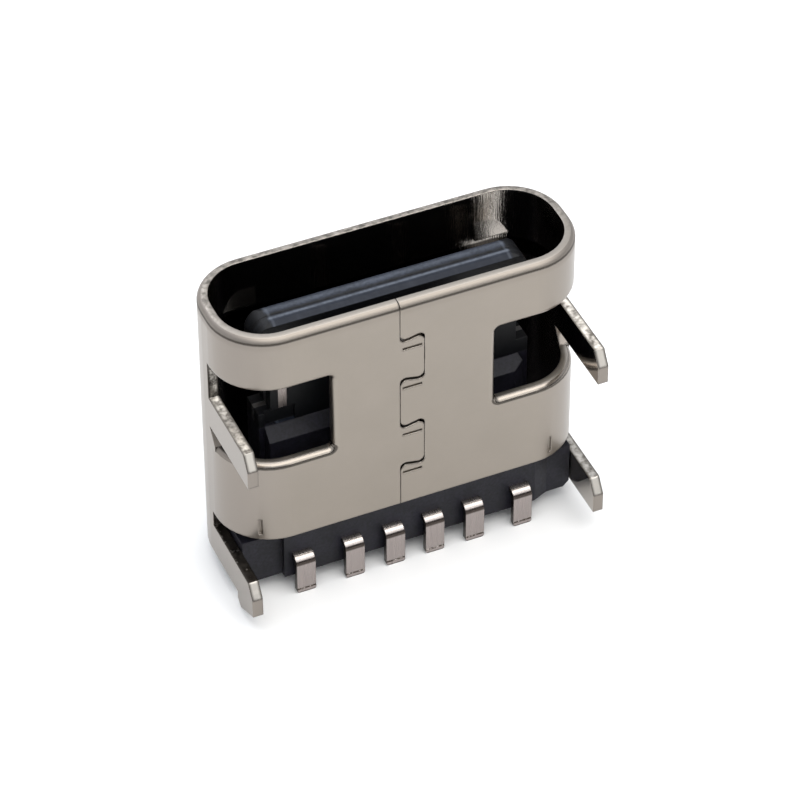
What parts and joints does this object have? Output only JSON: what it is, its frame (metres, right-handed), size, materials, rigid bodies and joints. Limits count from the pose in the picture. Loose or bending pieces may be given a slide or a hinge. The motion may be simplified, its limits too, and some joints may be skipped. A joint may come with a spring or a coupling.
{
  "type": "board socket",
  "caption": "Oval-mouthed reversible data and power socket for a circuit board, with a folded steel shell, a tongue with contacts, solder tails and four shell legs.",
  "frame": {"origin": "centre of the mouth, in the plane of the shell's front rim", "axes": "+Z out of the mouth along the plug's way, +X to the right of the mouth, -Y towards the circuit board"},
  "size_m": [0.0088, 0.0039, 0.0078],
  "materials": {
    "nickel_steel": "satin nickel plate",
    "nickel_contact": "satin nickel plate",
    "steel_plate": "bare rolled steel",
    "black_plastic": "moulded, fine grain"
  },
  "bodies": {
    "root": {"shell": "nickel_steel", "housing": "black_plastic", "tongue_upper_half": "black_plastic", "tongue_lower_half": "black_plastic", "middle_plate": "steel_plate", "contact_a5": "nickel_contact", "contact_a9": "nickel_contact", "contact_a12": "nickel_contact", "contact_b5": "nickel_contact", "contact_b9": "nickel_contact", "contact_b12": "nickel_contact"}
  },
  "joints": []
}
